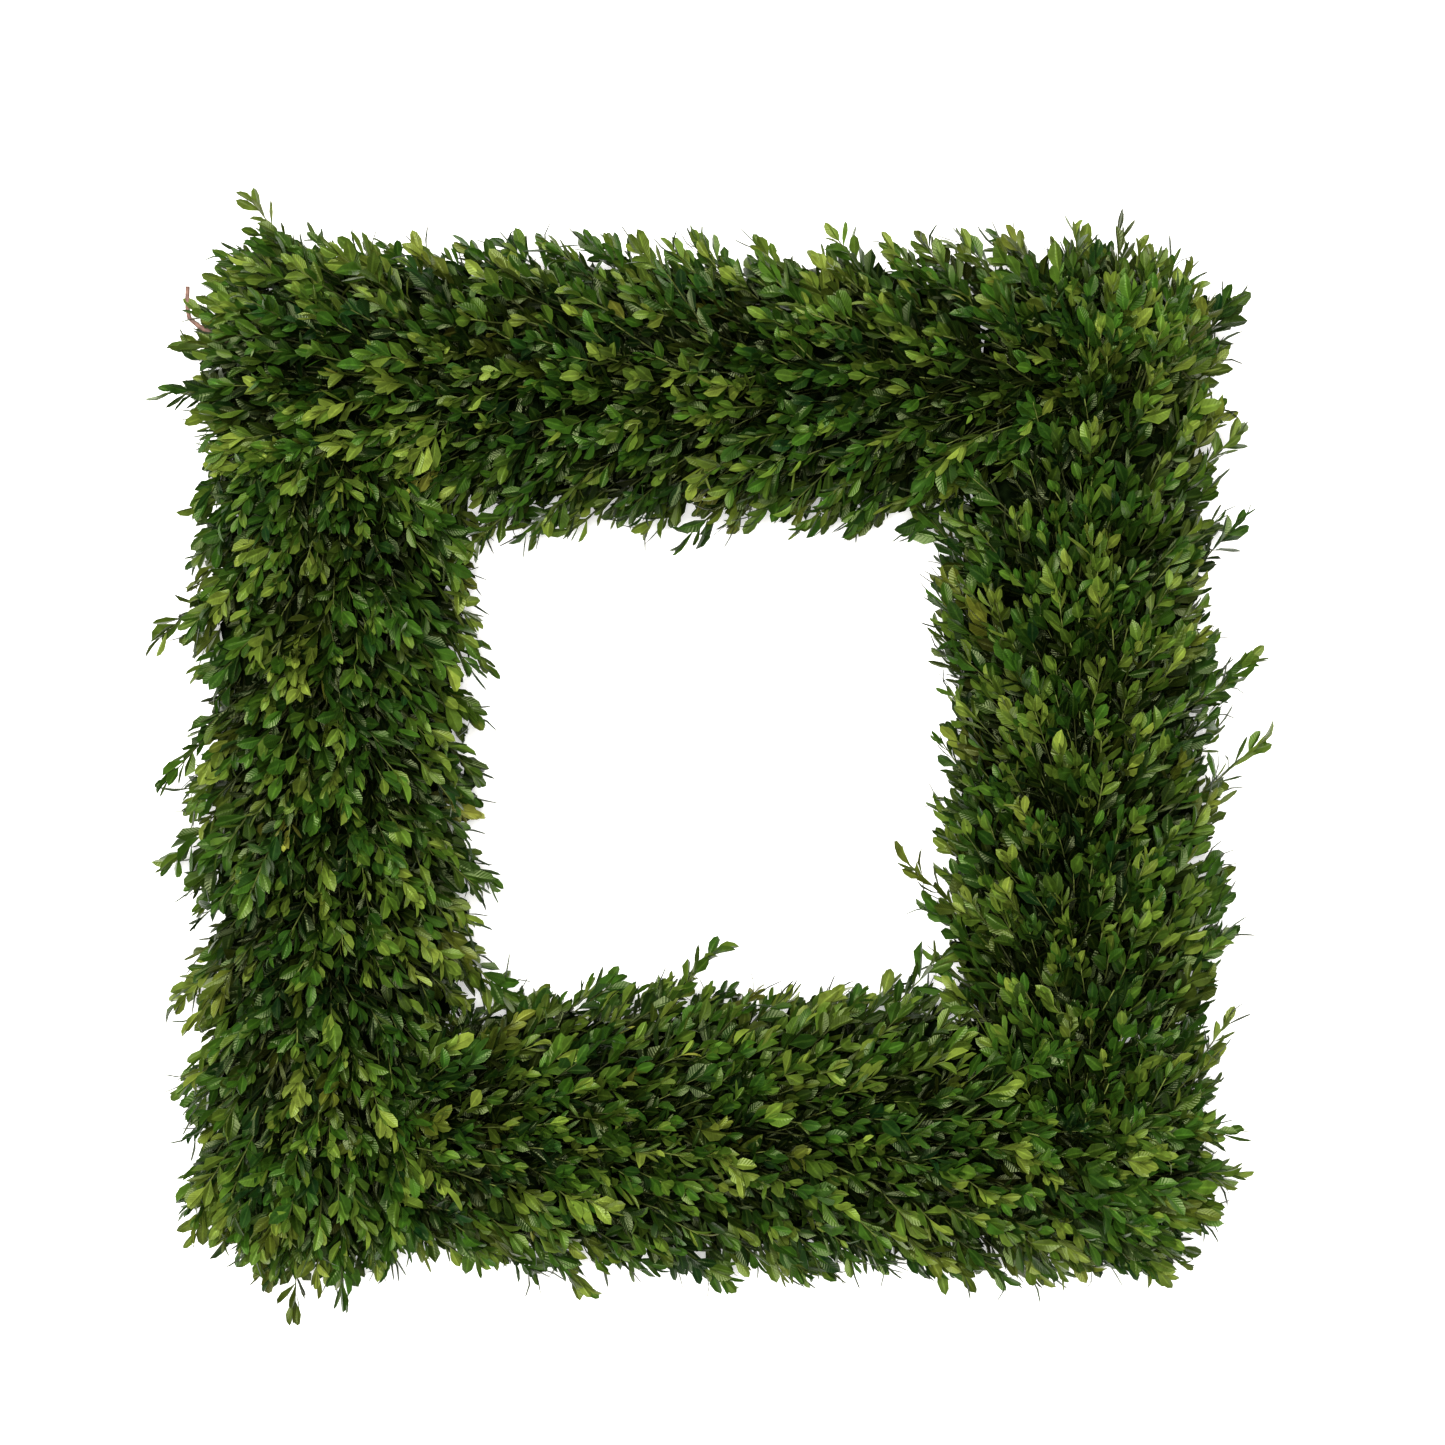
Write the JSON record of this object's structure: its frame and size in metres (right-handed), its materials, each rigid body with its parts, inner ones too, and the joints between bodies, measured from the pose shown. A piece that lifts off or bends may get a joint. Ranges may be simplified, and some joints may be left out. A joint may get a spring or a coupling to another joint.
{
  "type": "boxwood wreath",
  "caption": "Square wreath of leafy boxwood bunches laid pinwheel fashion on a welded wire frame and tied down by one binding wire.",
  "frame": {"origin": "middle of the wreath's footprint, on the surface that it lies on", "axes": "+Z out of the leafy face, +Y the wreath's top, +X its right side seen from the front"},
  "size_m": [0.5538, 0.5582, 0.0997],
  "materials": {
    "frame_wire": "dark green paint on steel wire, satin",
    "binding_wire": "green enamelled florist's wire",
    "boxwood": "preserved boxwood leaves and twigs, satin"
  },
  "bodies": {
    "root": {"wire_frame": "frame_wire", "binding_wire": "binding_wire", "bunch_bottom_1": "boxwood", "bunch_bottom_2": "boxwood", "bunch_bottom_3": "boxwood", "bunch_bottom_4": "boxwood", "bunch_bottom_5": "boxwood", "bunch_bottom_6": "boxwood", "bunch_right_1": "boxwood", "bunch_right_2": "boxwood", "bunch_right_3": "boxwood", "bunch_right_4": "boxwood", "bunch_right_5": "boxwood", "bunch_right_6": "boxwood", "bunch_top_1": "boxwood", "bunch_top_2": "boxwood", "bunch_top_3": "boxwood", "bunch_top_4": "boxwood", "bunch_top_5": "boxwood", "bunch_top_6": "boxwood", "bunch_left_1": "boxwood", "bunch_left_2": "boxwood", "bunch_left_3": "boxwood", "bunch_left_4": "boxwood", "bunch_left_5": "boxwood", "bunch_left_6": "boxwood"}
  },
  "joints": []
}
